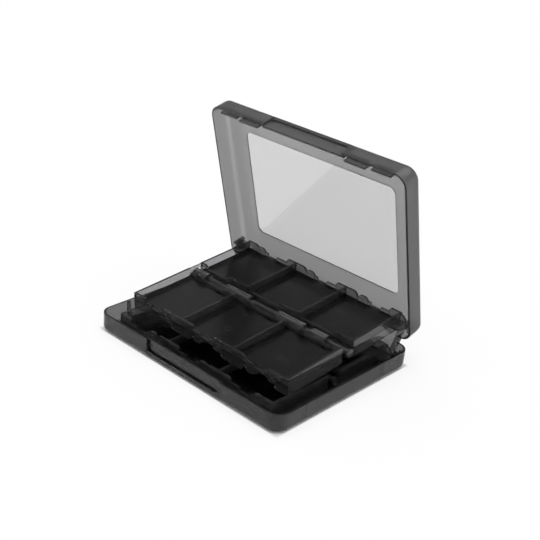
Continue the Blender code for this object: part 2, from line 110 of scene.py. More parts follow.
# Lid's window, catches and locating lips
WINDOW_WIDTH = 104.4 * MM
WINDOW_DEPTH = 67.4 * MM
WINDOW_FROM_REAR = 19.0 * MM
WINDOW_RADIUS = 4.0 * MM
WINDOW_SINK = 0.25 * MM
WINDOW_INNER_SINK = 0.08 * MM
CATCH_WIDTH = 13.4 * MM
CATCH_CENTRE = 36.8 * MM
CATCH_RISE = 2.0 * MM
LIP_WIDTH = 12.0 * MM
LIP_CENTRE = 52.6 * MM
LIP_RISE = 0.9 * MM
HOOK_GAP = 0.7 * MM
HOOK_THICKNESS = 1.1 * MM
HOOK_ROOT = 3.0 * MM
HOOK_DROP = 0.6 * MM

# Ribs on the base's side walls
RIB_SHARES = (-0.609, 0.547)
RIB_WIDTH = 2.0 * MM
RIB_DEPTH = 0.9 * MM
RIB_DROP = 0.4 * MM

# Tray pivots
PIN_FROM_REAR = 0.9 * MM
PIN_RADIUS = 1.0 * MM
PIN_PLAY = 0.3 * MM
PIN_LENGTH = 1.5 * MM
PIN_END_GAP = 0.3 * MM
BOSS_RADIUS = 2.2 * MM
BOSS_RIB = 1.0 * MM
BOSS_RIB_REACH = 2.6 * MM
BOSS_RIB_RISE = 3.6 * MM
BOSS_RIB_FOOT = 2.3 * MM
EAR_REACH = 6.3 * MM
EAR_LENGTH = 10.0 * MM
EAR_PLATE = 1.3 * MM
EAR_CORNER = 3.0 * MM
EAR_GAP = 0.35 * MM
EAR_SETBACK = 0.2 * MM
CHEEK_THICKNESS = 1.3 * MM
CHEEK_RADIUS = 3.2 * MM
GUSSET_REACH = 3.2 * MM
GUSSET_HEIGHT = 4.0 * MM
GUSSET_THICKNESS = 1.2 * MM

# Pocket ends
STUB_LEFT = 7.2 * MM
STUB_RIGHT = 8.4 * MM
STUB_THICKNESS = 1.3 * MM
STUB_CORNER = 1.3 * MM
REAR_STUB_CORNER = 3.6 * MM
HINGE_STUB = 5.2 * MM
TAB_WIDTH = 7.4 * MM
TAB_RISE = 4.4 * MM
TAB_CORNER = 2.9 * MM
TAB_SHIFT = 7.5 * MM
TAB_PITCH_SHARE = 1.03
TAB_INSET = 0.5 * MM
TAB_THICKNESS = 1.1 * MM
SLOT_WIDTH = 4.4 * MM
SLOT_LENGTH = 1.1 * MM
SLOT_GAP = 0.4 * MM
SILL_HEIGHT = 1.8 * MM
SILL_THICKNESS = 0.9 * MM
SILL_SETBACK = 0.2 * MM
NOTCH_WIDTH = 6.9 * MM
NOTCH_SHIFT = 1.25 * MM
NOTCH_FOOT = 0.2 * MM

# Middle hinge of a tray
ROD_RADIUS = 1.7 * MM
ROD_PLAY = 0.45 * MM
ROD_CAP_RADIUS = 2.4 * MM
ROD_CAP_LENGTH = 1.2 * MM
ROD_CAP_GAP = 0.4 * MM
HOOD_BORE = 2.05 * MM
HOOD_RADIUS = 3.2 * MM
HOOD_END_PLAY = 0.5 * MM
HOOD_MOUTH_SHARE = 0.83
NOSE_GAP = 2.3 * MM
RAIL_THICKNESS = 0.8 * MM
RAIL_SETBACK = 0.15 * MM
RAIL_GAP = 0.4 * MM
HOOD_SHARES = ((-1.0, -0.8), (-0.534, -0.206), (0.159, 0.483), (0.581, 0.759))

# Ejector marks on the pocket floors, as the moulding tool leaves them
EJECTOR_RADIUS = 2.0 * MM
EJECTOR_RIM = 0.12 * MM
EJECTOR_AHEAD = 4.0 * MM

# Fineness, and how far joined and cut shapes pass each other
QUARTER_STEPS = 16
ROUND_STEPS = 40
BEAD_STEPS = 20
TONGUE_STEPS = 10
HOOD_STEPS = 32
RING_STEPS = 40
RIM_STEPS = 8
OVERLAP = 0.5 * MM
SHALLOW = 0.1 * MM
CUT_MARGIN = 2.0 * MM
SAME = 0.001 * MM
SMOOTH_ANGLE = math.radians(31)

CASE_HEIGHT = 2 * SKIN + 2 * TRAY_HEIGHT + BASE_TRAY_GAP + TRAY_TRAY_GAP + LID_TRAY_GAP
LID_HEIGHT = CASE_HEIGHT - BASE_HEIGHT - PARTING_GAP
HALF_WIDTH = CASE_WIDTH / 2
HALF_DEPTH = CASE_DEPTH / 2
TRAY_WIDTH = CASE_WIDTH - 2 * TRAY_SIDE
TRAY_LENGTH = CASE_DEPTH - TRAY_FROM_REAR - TRAY_FROM_FRONT
HALF_LENGTH = (TRAY_LENGTH - MIDDLE_GAP) / 2
SPINE_WIDTH = CASE_WIDTH - 2 * SPINE_SIDE
TRAY_HALF = TRAY_WIDTH / 2
HOODS = [(TRAY_HALF * left, TRAY_HALF * right) for left, right in HOOD_SHARES]
MID = TRAY_HEIGHT / 2
WINDOW_MIDDLE = HALF_DEPTH - WINDOW_FROM_REAR - WINDOW_DEPTH / 2
ROD_PLACE = TRAY_LENGTH / 2
FIRST_DIVIDER = (TRAY_WALL - TRAY_WIDTH) / 2
PITCH = (TRAY_WIDTH - TRAY_WALL) / POCKETS
DIVIDERS = [FIRST_DIVIDER + PITCH * n for n in range(POCKETS + 1)]
EAR_FACE = TRAY_HALF + EAR_REACH
BEAD = SPINE_THICKNESS / 2
BEAD_DROP = HINGE_GAP / 2 + BEAD
MOUTH = SPINE_WIDTH / 2 + SPINE_END_GAP
REAR_STEP = (MOUTH + HALF_WIDTH - CORNER_RADIUS) / 2
BEAD_END = (MOUTH + REAR_STEP) / 2
HINGE_Y = HALF_DEPTH - HINGE_INSET
BASE_AXIS = (HINGE_Y, HINGE_RISE)
LID_AXIS = (HINGE_Y, CASE_HEIGHT - HINGE_RISE)
PIN_Y = HALF_DEPTH - TRAY_FROM_REAR - PIN_FROM_REAR
LOWER_PIN = (PIN_Y, SKIN + BASE_TRAY_GAP + MID)
UPPER_PIN = (PIN_Y, CASE_HEIGHT - SKIN - LID_TRAY_GAP - MID)

# Smoky polypropylene. The densities are per metre, so the lid's 1.1 mm lets about 40 % of the light through
POLYPROPYLENE_IOR = 1.49
SMOKE = "#040405"
# Painted shade: denser than the lid's, so the base and spine, the same plastic, render darker
BASE_SHADE_DENSITY = 1150.0
LID_DENSITY = 800.0
WINDOW_DENSITY = 480.0
# Painted light: thinner than the lid's, so the trays' walls, tabs and hoods, the same plastic, render lighter
TRAY_LIT_DENSITY = 360.0
# Painted shade: the pocket floors are the same plastic as the trays' walls, given a far denser smoke for the
# shade of the stack below them
FLOOR_SHADE_DENSITY = 2500.0

# Floor and world. The glow fades out between a share of the case's footprint and its edge.
# Each stop is the sine of a height above the horizon and the light from there
FLOOR_REACH = 8.0
FLOOR_DROP = 0.02 * MM
FLOOR_GLOW = 0.8
FLOOR_BENT_SHARE = 0.15
FOOTPRINT_FADE = 0.99
WHITE = "#ffffff"
WORLD_STOPS = ((0.0, 1.0), (0.26, 1.0), (0.4, 0.35), (0.74, 0.35), (0.88, 2.0), (1.0, 2.2))

# Camera
CAMERA_PLACE = (329.41 * MM, -362.86 * MM, 285.21 * MM)
CAMERA_LOOK = (-0.5961, 0.6727, -0.4383)
CAMERA_RIGHT = (0.7206, 0.6890, 0.0773)
CAMERA_LENS = 69.41
CAMERA_SENSOR = 36.0
CAMERA_SHIFT = (0.0017, 0.0020)
CAMERA_CLIP = 10.0 * MM


def to_object(name, shape):
    """Puts a shape into an object of its own, faces outwards, and frees the shape."""
    bmesh.ops.recalc_face_normals(shape, faces=shape.faces)
    mesh = bpy.data.meshes.new(name)
    shape.to_mesh(mesh)
    shape.free()
    made = bpy.data.objects.new(name, mesh)
    bpy.context.scene.collection.objects.link(made)
    return made


def box(low, high):
    """A block between two corners."""
    shape = bmesh.new()
    bmesh.ops.create_cube(shape, size=1)
    size = [abs(b - a) for a, b in zip(low, high)]
    middle = [(a + b) / 2 for a, b in zip(low, high)]
    bmesh.ops.transform(shape, matrix=Matrix.LocRotScale(middle, None, size), verts=shape.verts)
    return shape


def prism(outline, place, travel):
    """An outline's points, put in space by place() and swept along travel."""
    shape = bmesh.new()
    face = shape.faces.new([shape.verts.new(place(*point)) for point in outline])
    swept = bmesh.ops.extrude_face_region(shape, geom=[face])["geom"]
    moved = [item for item in swept if isinstance(item, bmesh.types.BMVert)]
    bmesh.ops.translate(shape, vec=travel, verts=moved)
    return shape


def arc(centre, radius, start, end, steps):
    """Points of an arc, both ends counted, its ends in quarter turns. A pair of radii makes it elliptical."""
    across, up = radius if isinstance(radius, tuple) else (radius, radius)
    turns = [(start + (end - start) * n / steps) * math.pi / 2 for n in range(steps + 1)]
    return [(centre[0] + across * math.cos(t), centre[1] + up * math.sin(t)) for t in turns]


def bar(x0, x1, centre, radius, steps=ROUND_STEPS):
    """A round bar along X. centre is its Y and Z."""
    shape = bmesh.new()
    place = Matrix.Translation(((x0 + x1) / 2, *centre)) @ Matrix.Rotation(math.pi / 2, 4, "Y")
    bmesh.ops.create_cone(shape, cap_ends=True, segments=steps, radius1=radius, radius2=radius,
                          depth=abs(x1 - x0), matrix=place)
    return shape


def rounded_ring(width, depth, radius, inset=0.0, middle=0.0):
    """Points round a rectangle with rounded corners, moved in by inset. middle is its centre's Y."""
    tight = max(radius - inset, OVERLAP)
    reach_x = width / 2 - inset - tight
    reach_y = depth / 2 - inset - tight
    ring = []
    for n, (sx, sy) in enumerate(((1, 1), (-1, 1), (-1, -1), (1, -1))):
        ring += arc((sx * reach_x, middle + sy * reach_y), tight, n, n + 1, QUARTER_STEPS)
    return ring


def loft(rings):
    """A closed body through rings of equal count. Each is its points and its height."""
    shape = bmesh.new()
    loops = []
    for points, z in rings:
        verts = [shape.verts.new((x, y, z)) for x, y in points]
        loops.append([shape.edges.new(pair) for pair in zip(verts, verts[1:] + verts[:1])])
    for lower, upper in zip(loops, loops[1:]):
        bmesh.ops.bridge_loops(shape, edges=lower + upper)
    for end in (loops[0], loops[-1]):
        bmesh.ops.contextual_create(shape, geom=end)
    return shape


def case_ring(side, rear, middle):
    """Points round the case, moved in by side, by rear at the rear corners and by middle between them."""
    across, back = HALF_WIDTH - CORNER_RADIUS, HALF_DEPTH - CORNER_RADIUS
    tight = CORNER_RADIUS - side
    ends = (tight, CORNER_RADIUS - rear)
    ring = arc((across, back), ends, 0, 1, QUARTER_STEPS)
    ring += [(x, HALF_DEPTH - inset) for x, inset in
             ((REAR_STEP, rear), (REAR_STEP, middle), (-REAR_STEP, middle), (-REAR_STEP, rear))]
    ring += arc((-across, back), ends, 1, 2, QUARTER_STEPS)
    ring += arc((-across, -back), tight, 2, 3, QUARTER_STEPS)
    return ring + arc((across, -back), tight, 3, 4, QUARTER_STEPS)


def fillet_inset(rise, radius):
    """How far a fillet stands back at a height above its foot."""
    return radius - math.sqrt(radius ** 2 - max(radius - rise, 0) ** 2)


def dish(floor, top, inset=0.0, rim=0.0, stepped=False):
    """A block of the case's outline, filleted round its foot, most at the rear. rim breaks its upper edge."""
    edge, rear = EDGE_RADIUS - inset, REAR_RADIUS - inset
    turns = [math.pi / 2 * n / QUARTER_STEPS for n in range(QUARTER_STEPS + 1)]
    rises = [edge * (1 - math.cos(turn)) for turn in turns]
    rises += [rise for rise in [rear * (1 - math.cos(turn)) for turn in turns] if rise > edge + SAME]
    rings = [(inset + fillet_inset(rise, edge), inset + fillet_inset(rise, rear), floor + rise)
             for rise in rises]
    if rim:
        share = 1 - math.sqrt(0.5)
        rings += [(inset, inset, top - rim), (inset + rim * share, inset + rim * share, top - rim * share)]
    rings.append((inset + rim, inset + rim, top))
    shape = loft([(case_ring(side, back, side if stepped else back), z) for side, back, z in rings])
    bmesh.ops.remove_doubles(shape, verts=shape.verts, dist=SAME)
    return shape


def turned(point, about, angle):
    """Where a Y and Z point goes when it turns about an axis along X."""
    offset = Matrix.Rotation(math.radians(angle), 2) @ (Vector(point) - Vector(about))
    return tuple(Vector(about) + offset)


class Moulding:
    """One moulded piece: a body, the shapes added to and cut from it in order, and its place when open."""

    def __init__(self, name, body, place=Matrix()):
        self.name = name
        self.place = place
        self.node = to_object(name + "_body", body)
        self.stages = []

    def apply(self, way, shape):
        """Keeps a shape for the next boolean. Shapes that come in a row and work the same way share one."""
        if not self.stages or self.stages[-1][0] != way:
            self.stages.append((way, bpy.data.collections.new(self.name + "_stage")))
        operands = self.stages[-1][1]
        made = to_object(self.name + "_operand", shape)
        bpy.context.scene.collection.objects.unlink(made)
        operands.objects.link(made)

    def add(self, shape):
        self.apply("UNION", shape)

    def cut(self, shape):
        self.apply("DIFFERENCE", shape)

    def add_both(self, shape):
        """Adds a shape and its copy turned half round Y, for a tray's two faces."""
        self.add(half_turned(shape))
        self.add(shape)

    def cut_both(self, shape):
        self.cut(half_turned(shape))
        self.cut(shape)

    def finish(self, material, body, slot, panel, on_panel):
        """Works the cuts out, puts the piece in place and dresses it. on_panel tells where its panel is."""
        for way, operands in self.stages:
            made = self.node.modifiers.new(way, "BOOLEAN")
            made.operand_type = "COLLECTION"
            made.collection = operands
            made.operation = way
            made.solver = "EXACT"
        graph = bpy.context.evaluated_depsgraph_get()
        mesh = bpy.data.meshes.new_from_object(self.node.evaluated_get(graph))
        bpy.data.objects.remove(self.node)
        for _, operands in self.stages:
            for operand in list(operands.objects):
                bpy.data.objects.remove(operand)
            bpy.data.collections.remove(operands)
        mesh.materials.clear()
        mesh.materials.append(material)
        mesh.materials.append(panel)
        for face in mesh.polygons:
            face.material_index = int(all(on_panel(mesh.vertices[n].co) for n in face.vertices))
        mesh.transform(self.place)
        mesh.name = self.name
        mesh.shade_smooth()
        mesh.set_sharp_from_angle(angle=SMOOTH_ANGLE)
        piece = bpy.data.objects.new(self.name, mesh)
        bpy.context.scene.collection.objects.link(piece)
        even = piece.modifiers.new("even_normals", "WEIGHTED_NORMAL")
        even.keep_sharp = True
        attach(piece, body)
        return piece


def in_window(point):
    """Whether a point of the lid, as drawn with its outer face down, lies on the window's two faces."""
    near_x = abs(point.x) < WINDOW_WIDTH / 2 + SAME
    near_y = abs(point.y - WINDOW_MIDDLE) < WINDOW_DEPTH / 2 + SAME
    return near_x and near_y and point.z < SKIN + SAME


def on_floor(point):
    """Whether a point of a tray half lies on its floor's two faces."""
    return abs(point.z) < TRAY_FLOOR / 2 + SAME


def nowhere(point):
    """For a piece that has one finish all over."""
    return False


def half_turned(shape):
    """A copy turned half round Y."""
    copy = shape.copy()
    bmesh.ops.rotate(copy, cent=(0, 0, 0), matrix=Matrix.Rotation(math.pi, 3, "Y"), verts=copy.verts)
    return copy


def recess_outline(height):
    """The thumb recess from the front: open at the top, with rounded lower corners."""
    half = RECESS_WIDTH / 2
    top = height + CUT_MARGIN
    low = RECESS_SILL + RECESS_RADIUS
    left = arc((RECESS_RADIUS - half, low), RECESS_RADIUS, 2, 3, QUARTER_STEPS)
    right = arc((half - RECESS_RADIUS, low), RECESS_RADIUS, 3, 4, QUARTER_STEPS)
    return [(-half, top), *left, *right, (half, top)]


def shell(name, height, pin_rise, place=Matrix()):
    """A shallow shell drawn with its outer face down. Only the corners of its rear wall are full height."""
    piece = Moulding(name, dish(0, height, rim=RIM_RADIUS, stepped=True), place)
    piece.cut(dish(SKIN, height + CUT_MARGIN, inset=WALL))
    front = -HALF_DEPTH
    half_pad = RECESS_WIDTH / 2 + WALL
    pad_back = front + RECESS_DEPTH + WALL
    piece.add(box((-half_pad, front + PAD_INSET, SKIN - SHALLOW), (half_pad, pad_back, height - PAD_DROP)))
    pivots(piece, (PIN_Y, pin_rise))
    recess_back = front + RECESS_DEPTH
    piece.cut(prism(recess_outline(height), lambda x, z: (x, recess_back, z), (0, -CUT_MARGIN * 2, 0)))
    half = RECESS_WIDTH / 2
    piece.cut(box((-half, -CASE_DEPTH, -CUT_MARGIN), (half, front + RECESS_SETBACK, height + CUT_MARGIN * 2)))
    bead_rise = HINGE_RISE - BEAD_DROP
    mouth_front = HALF_DEPTH - REAR_RADIUS - OVERLAP
    piece.cut(box((-MOUTH, mouth_front, bead_rise), (MOUTH, CASE_DEPTH, height + CUT_MARGIN)))
    face = EAR_FACE + EAR_GAP
    for side in (-1, 1):
        bore_end = EAR_FACE + PIN_LENGTH + PIN_END_GAP
        piece.cut(bar(side * (face - OVERLAP), side * bore_end, (PIN_Y, pin_rise), PIN_RADIUS + PIN_PLAY))
    piece.add(bar(-BEAD_END, BEAD_END, (HINGE_Y, bead_rise), BEAD, BEAD_STEPS))
    return piece


def pivots(piece, pin):
    """A boss with two upright ribs inside each side wall, for a tray's pin."""
    face = EAR_FACE + EAR_GAP
    root = HALF_WIDTH - WALL + OVERLAP / 2
    rib = BOSS_RIB_REACH - BOSS_RIB
    for side in (-1, 1):
        piece.add(bar(side * face, side * root, pin, BOSS_RADIUS))
        for way in (-1, 1):
            near = (side * face, pin[0] + way * rib, BOSS_RIB_FOOT)
            far = (side * root, pin[0] + way * BOSS_RIB_REACH, pin[1] + BOSS_RIB_RISE)
            piece.add(box(near, far))


def hooks(piece, centre, width, rise):
    """A pair of tongues that stand over the lid's front rim, a little behind the wall."""
    wall = WALL - HALF_DEPTH
    front = wall + HOOK_GAP
    back = front + HOOK_THICKNESS
    root = LID_HEIGHT - HOOK_ROOT
    step = LID_HEIGHT - HOOK_DROP
    tip = LID_HEIGHT + rise
    inside = wall - OVERLAP
    outline = [(inside, root), (back, root), (back, tip), (front, tip), (front, step), (inside, step)]
    for side in (-1, 1):
        start = side * centre - width / 2
        piece.add(prism(outline, lambda y, z: (start, y, z), (width, 0, 0)))


def slab(x0, x1, v0, v1, z0, z1):
    """A block of a tray. v runs forward from the tray's rear edge, and the pin's axis is the origin."""
    return box((x0, PIN_FROM_REAR - v1, z0), (x1, PIN_FROM_REAR - v0, z1))


def tongue(x0, x1, rise, corners, edge, depth):
    """An upright tongue of a tray, from inside its floor to rise. corners are its upper corners' radii."""
    foot = -TRAY_FLOOR / 4
    near, far = corners
    left = arc((x0 + near, rise - near), near, 1, 2, TONGUE_STEPS) if near else [(x0, rise)]
    right = arc((x1 - far, rise - far), far, 0, 1, TONGUE_STEPS) if far else [(x1, rise)]
    outline = [(x0, foot), (x1, foot), *right, *left]
    return prism(outline, lambda x, z: (x, PIN_FROM_REAR - edge, z), (0, -depth, 0))


def pocket_edge(piece, edge, way, left, right):
    """One end of a row of pockets. way is 1 at a rear edge and -1 at a front one."""
    end = TRAY_HALF
    for x in DIVIDERS if left else ():
        x0, x1 = max(x - left, -end), min(x + max(right, TRAY_WALL / 2), end)
        if not right and x == DIVIDERS[0]:
            x1 = x0 + HINGE_STUB
        far = REAR_STUB_CORNER if way > 0 else STUB_CORNER
        corners = (STUB_CORNER if x0 > -end else 0, far if end > x1 > x + TRAY_WALL else 0)
        piece.add_both(tongue(x0, x1, MID, corners, edge, way * STUB_THICKNESS))
    sill = TRAY_FLOOR / 2 + SILL_HEIGHT
    low, high = sorted((edge + way * SILL_SETBACK, edge + way * (SILL_SETBACK + SILL_THICKNESS)))
    piece.add(slab(-end + OVERLAP, end - OVERLAP, low, high, -sill, sill))
    tab = edge + way * TAB_INSET
    slot = tab + way * (TAB_THICKNESS + SLOT_GAP)
    step = PITCH * TAB_PITCH_SHARE
    spots = [(n - (POCKETS - 1) / 2) * step - way * TAB_SHIFT for n in range(POCKETS)]
    half = TAB_WIDTH / 2
    corners = (TAB_CORNER, TAB_CORNER)
    for x in spots:
        piece.add_both(tongue(x - half, x + half, TAB_RISE, corners, tab, way * TAB_THICKNESS))
    slots = [(x - SLOT_WIDTH / 2, x + SLOT_WIDTH / 2, *sorted((slot, slot + way * SLOT_LENGTH)),
              -TRAY_FLOOR, TRAY_FLOOR) for x in spots]
    notches = [spot + way * (TAB_SHIFT + NOTCH_SHIFT) for spot in spots] if right else ()
    return slots + [(x - NOTCH_WIDTH / 2, x + NOTCH_WIDTH / 2, low - OVERLAP, high + OVERLAP,
                     TRAY_FLOOR / 2 + NOTCH_FOOT, sill + OVERLAP) for x in notches]


def rear_half(name, place):
    """The half with the ears and the rod."""
    floor = TRAY_FLOOR / 2
    inner = TRAY_HALF - OVERLAP
    half = Moulding(name, slab(-inner, inner, OVERLAP, HALF_LENGTH - OVERLAP, -floor, floor), place)
    for x in DIVIDERS:
        half.add(slab(x - TRAY_WALL / 2, x + TRAY_WALL / 2, OVERLAP, HALF_LENGTH - OVERLAP, -MID, MID))
    cuts = pocket_edge(half, 0, 1, STUB_LEFT, STUB_RIGHT)
    cuts += pocket_edge(half, HALF_LENGTH, -1, STUB_LEFT, 0)
    ears(half)
    rod = (PIN_FROM_REAR - ROD_PLACE, 0)
    cap = TRAY_HALF + ROD_CAP_GAP
    half.add(bar(-TRAY_HALF, cap + ROD_CAP_LENGTH / 2, rod, ROD_RADIUS))
    half.add(bar(cap, cap + ROD_CAP_LENGTH, rod, ROD_CAP_RADIUS))
    starts = [hood[1] + HOOD_END_PLAY for hood in HOODS]
    ends = [hood[0] - HOOD_END_PLAY for hood in HOODS[1:]] + [TRAY_HALF]
    for x0, x1 in zip(starts, ends):
        half.add(slab(x0, x1, HALF_LENGTH - OVERLAP * 2, ROD_PLACE, -floor, floor))
    for cut in cuts:
        half.cut_both(slab(*cut))
    return half


def ears(piece):
    """The plates, gussets, cheeks and pins at both rear corners."""
    rear = PIN_FROM_REAR
    front = rear - EAR_LENGTH
    inner = TRAY_HALF - OVERLAP
    turn_x = EAR_FACE - EAR_CORNER - EAR_SETBACK
    rounded = arc((turn_x, rear - EAR_CORNER), EAR_CORNER, 1, 0, QUARTER_STEPS)
    rounded += arc((turn_x, front + EAR_CORNER), EAR_CORNER, 0, -1, QUARTER_STEPS)
    plate = [(inner, rear), *rounded, (inner, front)]
    arch = arc((inner, 0), (GUSSET_REACH + OVERLAP, GUSSET_HEIGHT), 0, 1, QUARTER_STEPS)
    gusset = [(inner, 0), *arch]
    for side in (-1, 1):
        piece.add(prism(plate, lambda x, y: (side * x, y, -EAR_PLATE / 2), (0, 0, EAR_PLATE)))
        back = rear - EAR_SETBACK
        piece.add_both(prism(gusset, lambda x, z: (side * x, back, z), (0, -GUSSET_THICKNESS, 0)))
        piece.add(bar(side * (EAR_FACE - CHEEK_THICKNESS), side * EAR_FACE, (0, 0), CHEEK_RADIUS))
        piece.add(bar(side * (EAR_FACE - OVERLAP), side * (EAR_FACE + PIN_LENGTH), (0, 0), PIN_RADIUS))


def front_half(name, place):
    """The half with the hoods that reach round the rod, and a rail over and under its left end."""
    floor = TRAY_FLOOR / 2
    start = ROD_PLACE + ROD_RADIUS + ROD_PLAY
    walls = TRAY_LENGTH - HALF_LENGTH
    inner = TRAY_HALF - OVERLAP
    half = Moulding(name, slab(-inner, inner, start, TRAY_LENGTH - OVERLAP, -floor, floor), place)
    nose = ROD_PLACE + NOSE_GAP + MID
    for x in DIVIDERS:
        inside = x not in (DIVIDERS[0], DIVIDERS[-1])
        first = nose if inside else walls
        half.add(slab(x - TRAY_WALL / 2, x + TRAY_WALL / 2, first, TRAY_LENGTH - OVERLAP, -MID, MID))
        if inside:
            half.add(bar(x - TRAY_WALL / 2, x + TRAY_WALL / 2, (PIN_FROM_REAR - nose, 0), MID))
    rail = RAIL_SETBACK - TRAY_HALF
    spread = (HALF_LENGTH + RAIL_GAP, walls + OVERLAP, HOOD_BORE + RAIL_GAP, MID - RAIL_SETBACK)
    half.add(slab(rail, rail + RAIL_THICKNESS, *spread))
    half.add(slab(rail, rail + RAIL_THICKNESS, *spread[:2], -spread[3], -spread[2]))
    cuts = pocket_edge(half, walls, 1, 0, 0)
    cuts += pocket_edge(half, TRAY_LENGTH, -1, STUB_LEFT, STUB_RIGHT)
    centre = (PIN_FROM_REAR - ROD_PLACE, 0)
    lips = (HOOD_MOUTH_SHARE / 2, 4 - HOOD_MOUTH_SHARE / 2)
    outline = arc(centre, HOOD_RADIUS, *lips, HOOD_STEPS) + arc(centre, HOOD_BORE, *lips[::-1], HOOD_STEPS)
    for x0, x1 in HOODS:
        half.add(prism(outline, lambda y, z: (x0, y, z), (x1 - x0, 0, 0)))
    for cut in cuts:
        half.cut_both(slab(*cut))
    return half


def colour(code):
    """A hex sRGB colour as the linear one that Blender's sockets take."""
    shares = [int(code[n:n + 2], 16) / 255 for n in (1, 3, 5)]
    return (*[s / 12.92 if s <= 0.04045 else ((s + 0.055) / 1.055) ** 2.4 for s in shares], 1.0)


def add_node(tree, kind, settings=None, **links):
    """A node with its properties and sockets set, a socket by its name or as i and its number.

    A socket's value may be another node's output.
    """
    made = tree.nodes.new(kind)
    for name, value in (settings or {}).items():
        setattr(made, name, value)
    for name, value in links.items():
        numbered = name[0] == "i" and name[1:].isdigit()
        socket = made.inputs[int(name[1:]) if numbered else name.replace("_", " ")]
        if isinstance(value, bpy.types.NodeSocket):
            tree.links.new(value, socket)
        else:
            socket.default_value = value
    return made


def smoky_plastic(name, tint, roughness, density, clear):
    """Polypropylene tinted grey in the mass: see-through where a wall is seen flat, black on edge."""
    made = bpy.data.materials.new(name)
    made.use_nodes = True
    tree = made.node_tree
    shader = tree.nodes["Principled BSDF"]
    shader.inputs["Base Color"].default_value = colour(tint)
    shader.inputs["Roughness"].default_value = roughness
    shader.inputs["Transmission Weight"].default_value = clear
    shader.inputs["IOR"].default_value = POLYPROPYLENE_IOR
    smoke = add_node(tree, "ShaderNodeVolumeAbsorption", Color=colour(SMOKE), Density=density)
    tree.links.new(smoke.outputs["Volume"], tree.nodes["Material Output"].inputs["Volume"])
    return made


def ring_marks(name, place, body, material):
    """The rings that ejector pins leave on the pocket floors, one to a pocket on both faces of a tray."""
    tree = bpy.data.node_groups.new("ejector_rings", "GeometryNodeTree")
    sizes = {"Columns": ("NodeSocketInt", POCKETS),
             "Pitch": ("NodeSocketFloat", PITCH),
             "Row Spacing": ("NodeSocketFloat", TRAY_LENGTH - HALF_LENGTH),
             "Radius": ("NodeSocketFloat", EJECTOR_RADIUS),
             "Rim": ("NodeSocketFloat", EJECTOR_RIM),
             "Level": ("NodeSocketFloat", TRAY_FLOOR / 2),
             "Plastic": ("NodeSocketMaterial", material)}
    ids = {key: tree.interface.new_socket(key, in_out="INPUT", socket_type=kind).identifier
           for key, (kind, _) in sizes.items()}
    tree.interface.new_socket("Rings", in_out="OUTPUT", socket_type="NodeSocketGeometry")
    given = add_node(tree, "NodeGroupInput").outputs
    gaps = add_node(tree, "ShaderNodeMath", {"operation": "SUBTRACT"}, i0=given["Columns"], i1=1)
    width = add_node(tree, "ShaderNodeMath", {"operation": "MULTIPLY"}, i0=gaps.outputs[0], i1=given["Pitch"])
    grid = add_node(tree, "GeometryNodeMeshGrid", Size_X=width.outputs[0], Size_Y=given["Row Spacing"],
                    Vertices_X=given["Columns"], Vertices_Y=2)
    path = add_node(tree, "GeometryNodeCurvePrimitiveCircle", Resolution=RING_STEPS, Radius=given["Radius"])
    rim = add_node(tree, "GeometryNodeCurvePrimitiveCircle", Resolution=RIM_STEPS, Radius=given["Rim"])
    ring = add_node(tree, "GeometryNodeCurveToMesh",
                    Curve=path.outputs["Curve"], Profile_Curve=rim.outputs["Curve"])
    spots = add_node(tree, "GeometryNodeInstanceOnPoints",
                     Points=grid.outputs["Mesh"], Instance=ring.outputs["Mesh"])
    under = add_node(tree, "ShaderNodeMath", {"operation": "MULTIPLY"}, i0=given["Level"], i1=-1)
    join = add_node(tree, "GeometryNodeJoinGeometry")
    for level in (given["Level"], under.outputs[0]):
        rise = add_node(tree, "ShaderNodeCombineXYZ", Z=level)
        moved = add_node(tree, "GeometryNodeTransform",
                         Geometry=spots.outputs["Instances"], Translation=rise.outputs[0])
        tree.links.new(moved.outputs["Geometry"], join.inputs["Geometry"])
    solid = add_node(tree, "GeometryNodeRealizeInstances", Geometry=join.outputs["Geometry"])
    dressed = add_node(tree, "GeometryNodeSetMaterial",
                       Geometry=solid.outputs["Geometry"], Material=given["Plastic"])
    add_node(tree, "NodeGroupOutput", Rings=dressed.outputs["Geometry"])

    made = to_object(name, bmesh.new())
    rings = made.modifiers.new("rings", "NODES")
    rings.node_group = tree
    for key, (_, value) in sizes.items():
        rings[ids[key]] = value
    mesh = bpy.data.meshes.new_from_object(made.evaluated_get(bpy.context.evaluated_depsgraph_get()))
    made.modifiers.remove(rings)
    mesh.transform(place @ Matrix.Translation((0, PIN_FROM_REAR - ROD_PLACE - EJECTOR_AHEAD, 0)))
    mesh.shade_smooth()
    made.data = mesh
    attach(made, body)


def folded(shut, tilt, now):
    """The place of a piece that leans back by tilt, whose hinge has gone from its shut place to now."""
    lean = Matrix.Rotation(math.radians(-tilt), 4, "X")
    return Matrix.Translation((0, *now)) @ lean @ Matrix.Translation((0, -shut[0], -shut[1]))


